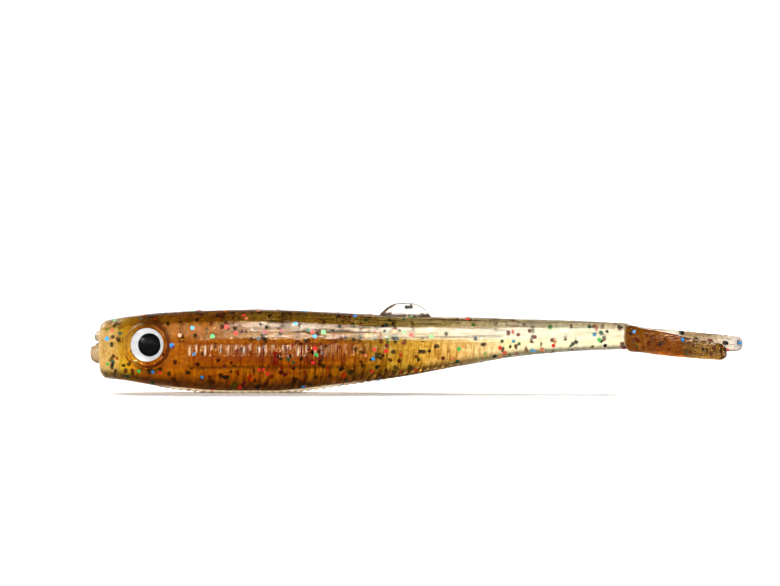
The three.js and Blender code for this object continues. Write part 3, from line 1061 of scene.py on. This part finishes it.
def body_spots(low, high, count, surface):
    """Random flakes in the body between two places along it."""
    tries = 2 * count  # because some fall where no flake fits
    s = rng.uniform(low, high, tries)
    t = rng.uniform(0.05, 0.99, tries)
    side = rng.choice((-1, 1), tries)
    depth = np.full(tries, SURFACE_DEPTH) if surface else rng.uniform(*DEEP_DEPTHS, tries)
    place, normal = np.empty((tries, 3)), np.empty((tries, 3))
    for one in (-1, 1):
        here = side == one
        place[here], normal[here] = body_points(s[here], t[here], one)
    spots = place - normal * depth[:, None]
    mix = np.array(SURFACE_MIX if surface else DEEP_MIX)
    colours = rng.choice(len(mix), tries, p=mix / mix.sum())
    from_eye = np.hypot(spots[:, 0] - EYES[-1][0][0], spots[:, 2] - EYES[-1][0][2])
    fits = (from_eye > EYE_CLEARANCE) & (np.abs(spots[:, 1]) > 0.1) & (spots[:, 0] > NOSE_X + 0.9)
    kept = np.flatnonzero(fits)[:count]
    tilt = SURFACE_TILT if surface else DEEP_TILT
    return [(spots[i], normal[i], tilt, colours[i]) for i in kept]


BLACK, DARK_RED, RED, DARK_GREEN, GREEN, BLUE, COPPER = range(7)
# Flakes on the lobes: share of the length, share of the half height, colour.
LOBE_FLAKES = {
    "left": ((0.15, 0.62, BLUE), (0.14, -0.02, DARK_RED), (0.17, 0.1, DARK_RED), (0.27, -0.55, DARK_RED),
             (0.33, -0.1, DARK_RED), (0.45, -0.05, BLACK), (0.5, 0.5, DARK_RED), (0.66, 0.72, BLUE),
             (0.73, -0.35, DARK_RED), (0.1, 0.4, BLACK), (0.84, 0.1, BLACK), (0.9, -0.3, DARK_RED)),
    "right": ((0.97, 0.1, BLUE), (0.86, 0.0, BLACK), (0.87, -0.8, RED), (0.52, 0.8, BLACK),
              (0.63, 0.3, DARK_GREEN), (0.74, 0.2, DARK_RED), (0.3, -0.2, BLACK), (0.2, 0.5, DARK_RED)),
}
# Flakes in the fin: place along the body, height over the floor, distance out to one side.
FIN_FLAKES = ((28.2, 15.8, -0.12), (28.95, 15.85, 0.1))


def lobe_spots(name):
    """The lobe's flakes: each one lies on the outer face and comes again on the inner one."""
    spots = []
    side = -1 if name == "left" else 1
    for u, rise, colour in LOBE_FLAKES[name]:
        for face in (side, -side):
            centre, heading = lobe_point(name, u)
            across = np.array([-heading[1], heading[0], 0]) * face
            thick = curve_through(LOBE_HALF_THICKNESS, u)
            tall = curve_through(LOBE_HALF_HEIGHT, u)
            height = rise if face == side or name == "right" else -rise * 0.8
            bulge = thick * (1 - abs(height) ** LOBE_POWERS[1]) ** (1 / LOBE_POWERS[0])
            out = bulge + (0.03 if colour in (BLUE, RED, BLACK) else -0.12)
            spots.append((centre + across * out + np.array([0, 0, tall * height]), across, 8, colour))
    return spots


def glitter():
    reach = {"front": (NOSE_X + 1, SEAM_X - 0.6), "rear": (SEAM_X + 0.6, STEM_END_X - 1)}
    spots = {}
    for name, (low, high) in reach.items():
        spots[name] = body_spots(low, high, DEEP_COUNT[name], False)
        spots[name] += body_spots(low, high, SURFACE_COUNT[name], True)
    made = flake_piece("glitter_front", spots["front"])
    bend_front(made)
    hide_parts("body_front")
    made = flake_piece("glitter_rear", spots["rear"])
    bend_rear(made)
    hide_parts("tail_stem")
    for name in ("left", "right"):
        made = flake_piece(f"glitter_lobe_{name}", lobe_spots(name))
        bend_lobe(made)
        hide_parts(f"tail_lobe_{name}")
    in_fin = [(np.array([x, y, z]), np.array([0, -1.0, 0]), 6, BLACK) for x, z, y in FIN_FLAKES]
    made = flake_piece("glitter_fin", in_fin)
    bend_fin(made)
    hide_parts("dorsal_fin")


# ---------- floor, light and camera ----------
CAMERA_PLACE = (25.1, -300, 18.4)
CAMERA_LENS = 74.8
FLOOR_HALF = 4000
FLOOR_Z = -0.03
# Two like suns shine down from behind the lure, one from each end.
SUN_POWER, SUN_SPREAD, SUN_TILT = 1.8, 26, -46
SUN_TURNS = (("nose_side", 50), ("tail_side", -50))
# Lights that show only in reflections: name, place, size, power and target.
REFLECTED_LIGHTS = (
    ("key", (38, -293, 230), (206, 56), 3.6, (20, 0, 10)),
    ("left_strip", (-165, -208, 40), (34, 60), 0.26, (-5, 0, 8)),
    ("right_strip", (120, -230, 36), (30, 50), 0.15, (5, 0, 8)),
    ("small_window", (-89, -275, 20), (24, 13), 0.15, (-19, 0, 9)),
)


def camera():
    """A long lens level with the air just above the back, looking square at the left flank."""
    data = bpy.data.cameras.new("camera")
    data.lens = CAMERA_LENS
    data.clip_start = 0.01
    made = add_object("camera", data)
    made.location = Vector(CAMERA_PLACE) * MM
    made.rotation_euler = (math.radians(90), 0, 0)
    bpy.context.scene.camera = made


def soft_light(name, place, size, power, target, shine_only=False):
    """A rectangular light aimed at the target. One that is shine_only shows only in reflections."""
    data = bpy.data.lights.new(name, "AREA")
    data.shape = "RECTANGLE"
    data.size, data.size_y = size[0] * MM, size[1] * MM
    data.energy = power
    made = add_object(name, data)
    if shine_only:
        made.visible_diffuse = False
        made.visible_transmission = False
    made.location = Vector(place) * MM
    made.rotation_euler = (Vector(target) - Vector(place)).to_track_quat("-Z", "Y").to_euler()
    return made


def sky():
    """A world that is white behind the lure, and dims upwards and to the camera's side."""
    world = bpy.data.worlds.new("world")
    bpy.context.scene.world = world
    tree = empty_tree(world)
    place = add_node(tree, "TexCoord").outputs["Generated"]
    way = add_node(tree, "SeparateXYZ", {"Vector": place})
    ramp = add_node(tree, "ValToRGB", {"Fac": way.outputs["Z"]})
    stops = ramp.color_ramp.elements
    stops[0].position, stops[0].color = 0.19, (1.0, 1.0, 1.0, 1)
    stops[1].position, stops[1].color = 0.42, (0.1, 0.1, 0.105, 1)
    strength = between(tree, way.outputs["Y"], 0.15, 1.05, -0.75, -0.35)
    back = add_node(tree, "Background", {"Color": ramp.outputs["Color"], "Strength": strength})
    output(tree, back.outputs["Background"], "World")


def floor():
    """A wide sheet of white paper just below the belly."""
    ways = ((-1, -1), (1, -1), (1, 1), (-1, 1))
    sheet = add_mesh("floor", [(x * FLOOR_HALF, y * FLOOR_HALF, FLOOR_Z) for x, y in ways], [(0, 1, 2, 3)])
    material, tree = node_material("floor_paper")
    place = add_node(tree, "TexCoord").outputs["Object"]
    tone = between(tree, noise(tree, place, 900.0, 2.0), 0.88, 0.93)
    surface(tree, {"Base Color": tone, "Roughness": 0.7, "Specular IOR Level": 0.0})
    sheet.data.materials.append(material)


def studio():
    view = bpy.context.scene.view_settings
    view.view_transform = "Standard"
    view.look = "Medium High Contrast"
    view.exposure = 0.5
    sky()
    floor()
    for name, turn in SUN_TURNS:
        sun = bpy.data.lights.new(name, "SUN")
        sun.energy = SUN_POWER
        sun.angle = math.radians(SUN_SPREAD)
        add_object(name, sun).rotation_euler = (math.radians(SUN_TILT), 0, math.radians(turn))
    for light in REFLECTED_LIGHTS:
        soft_light(*light, shine_only=True)
    nose_end = soft_light("nose_end", (-330, -70, 120), (60, 120), 0.22, (70, -10, 8))
    nose_end.visible_transmission = False
    fill = soft_light("fill", (-60, -330, 150), (200, 120), 0.5, (15, 0, 8))
    fill.visible_glossy = False


camera()
studio()
bodies()
lobes()
fin()
gate_stub()
eyes()
glitter()
